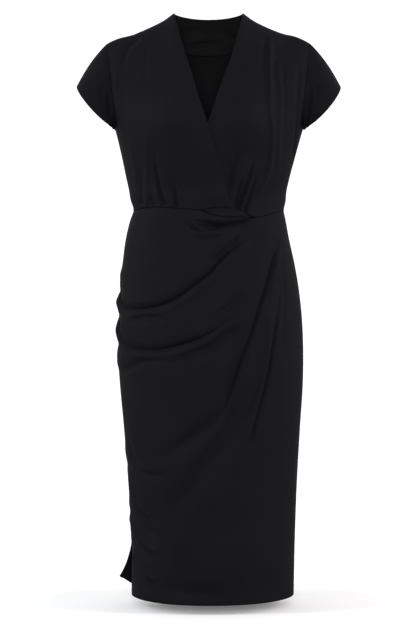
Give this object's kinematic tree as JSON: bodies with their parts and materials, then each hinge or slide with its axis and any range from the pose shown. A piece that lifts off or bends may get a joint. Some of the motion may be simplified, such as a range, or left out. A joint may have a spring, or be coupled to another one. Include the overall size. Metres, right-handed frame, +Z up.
{
  "type": "bodycon dress",
  "caption": "Wrap-effect pencil dress in black stretch crepe with a V neck, cap sleeves and a draped, ruched skirt with a side slit, filled out as if worn.",
  "frame": {"origin": "where the wearer's shoulders hold the dress up: level with the two high shoulder points and midway between them", "axes": "+Z up along the hanging dress, -Y out of the front, -X towards the wearer's right sleeve"},
  "size_m": [0.5, 0.263, 1.1068],
  "materials": {
    "black_crepe": "matt stretch crepe, very fine pebbled grain, black with a faint cool cast",
    "facing_crepe": "the same crepe seen from inside, a little darker and flatter"
  },
  "bodies": {
    "root": {"bodice_front_right": "black_crepe", "bodice_front_left": "black_crepe", "bodice_back": "black_crepe", "sleeve_right": "black_crepe", "sleeve_left": "black_crepe", "back_neck_facing": "facing_crepe", "skirt_front": "black_crepe", "skirt_back": "black_crepe", "waist_insert": "black_crepe"}
  },
  "joints": []
}
